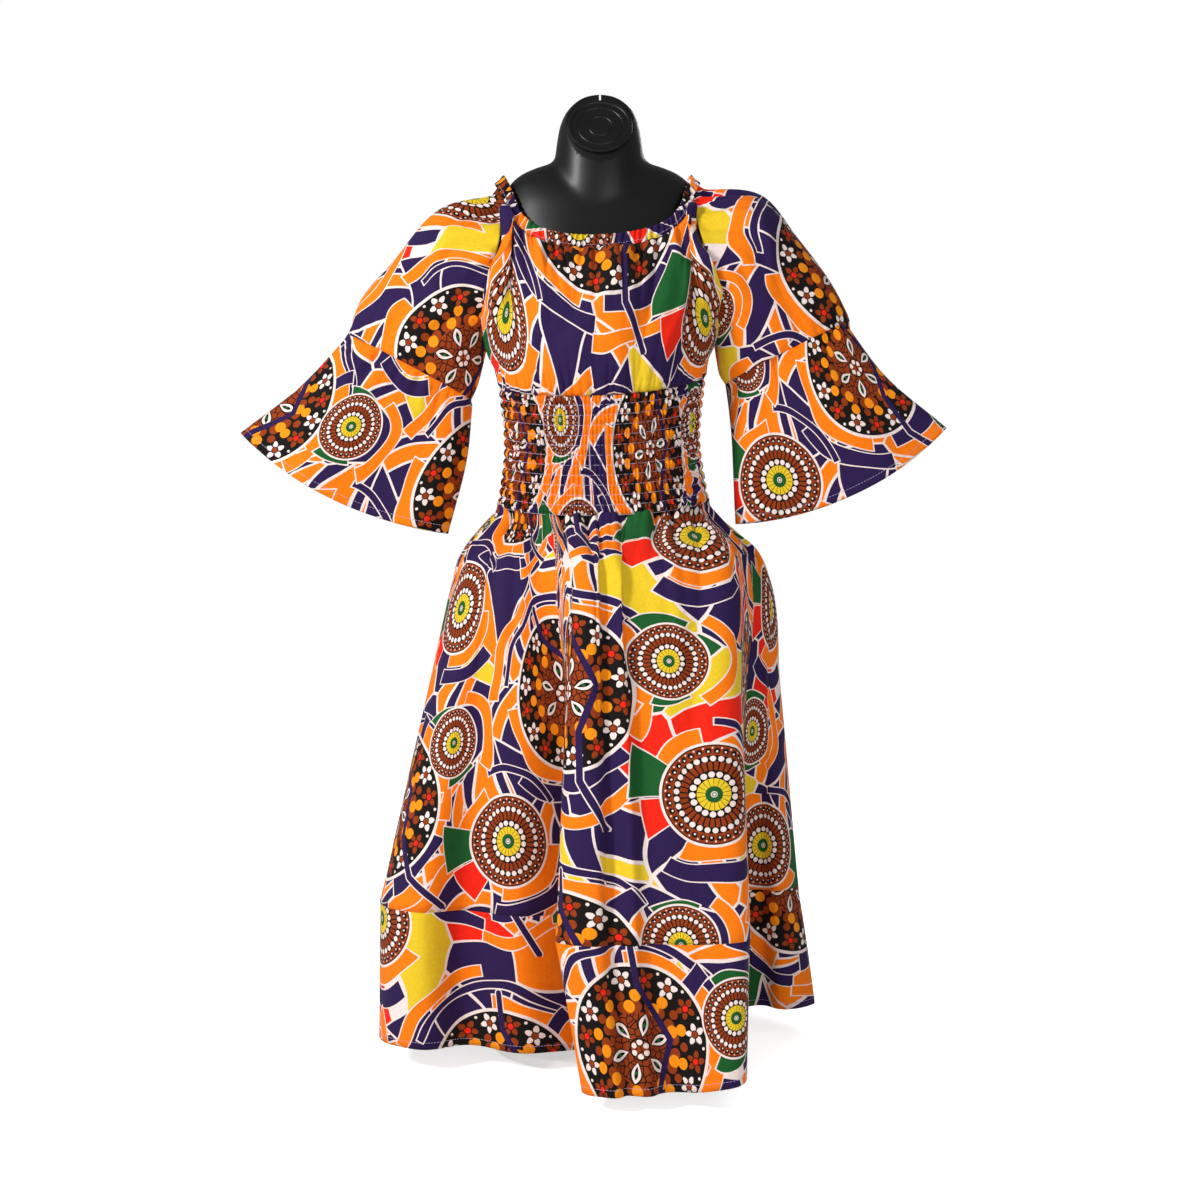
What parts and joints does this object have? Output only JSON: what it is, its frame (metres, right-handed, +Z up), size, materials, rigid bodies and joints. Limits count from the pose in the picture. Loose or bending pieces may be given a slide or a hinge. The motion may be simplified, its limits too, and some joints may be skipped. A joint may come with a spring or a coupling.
{
  "type": "wax print dress on a dress form with a stand",
  "caption": "Full-length wax print dress with puffed flounced sleeves and a smocked waist, worn by a black limbless form on a pole stand.",
  "frame": {"origin": "foot of the pole's axis on the underside of the stand's base, on the floor", "axes": "+Z up; the front of the dress faces -Y; +X is the viewer's right seen from the front"},
  "size_m": [0.9708, 0.5828, 1.325],
  "materials": {
    "wax_print_cloth": "printed cotton with orange, indigo, yellow, red and green on a pale ground",
    "form_black": "satin black moulding",
    "stand_steel": "satin steel tube",
    "stand_glass": "clear polished plate"
  },
  "bodies": {
    "root": {"neck_casing": "wax_print_cloth", "bodice_front": "wax_print_cloth", "bodice_back": "wax_print_cloth", "waist_smocking_front": "wax_print_cloth", "waist_smocking_back": "wax_print_cloth", "sleeve_left": "wax_print_cloth", "sleeve_right": "wax_print_cloth", "sleeve_flounce_left": "wax_print_cloth", "sleeve_flounce_right": "wax_print_cloth", "skirt_front": "wax_print_cloth", "skirt_back": "wax_print_cloth", "hem_tier_front": "wax_print_cloth", "hem_tier_back": "wax_print_cloth", "form_torso": "form_black", "form_neck_disc": "form_black", "stand_base": "stand_glass", "stand_pole": "stand_steel", "stand_flange": "stand_steel"}
  },
  "joints": []
}
